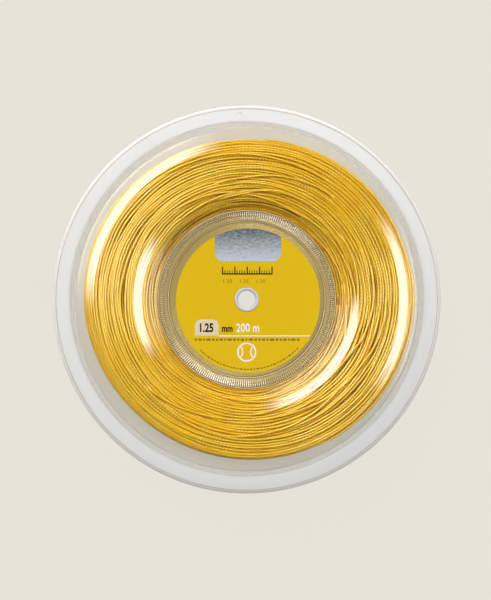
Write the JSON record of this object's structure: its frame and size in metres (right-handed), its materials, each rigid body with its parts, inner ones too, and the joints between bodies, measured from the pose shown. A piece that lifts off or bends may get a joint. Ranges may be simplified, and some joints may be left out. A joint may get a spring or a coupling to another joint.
{
  "type": "string reel",
  "caption": "Reel of yellow racket string between two clear dished flanges, with a paper label in each hub cup and a bore for a stand's spindle.",
  "frame": {"origin": "centre of the rear brim's plane, on the reel's axis, at the lowest point of the reel as it lies", "axes": "+Z along the reel's axis from the rear flange to the front flange; +Y towards the top of the front label"},
  "size_m": [0.2, 0.2, 0.03],
  "materials": {
    "clear_plastic": "clear, slightly milky moulded plastic, polished",
    "hub_plastic": "clear moulded plastic, satin on its end faces",
    "string_core": "golden yellow monofilament in shade",
    "string": "golden yellow monofilament with a fine raised texture",
    "label_paper": "semi-gloss printed yellow paper",
    "foil": "brushed and scratched silver foil"
  },
  "bodies": {
    "root": {"front_flange": "clear_plastic", "rear_flange": "clear_plastic", "barrel": "clear_plastic", "spindle_tube": "hub_plastic", "string_pack": "string_core", "string_turns": "string", "front_label": "label_paper", "rear_label": "label_paper", "foil_patch": "foil"}
  },
  "joints": []
}
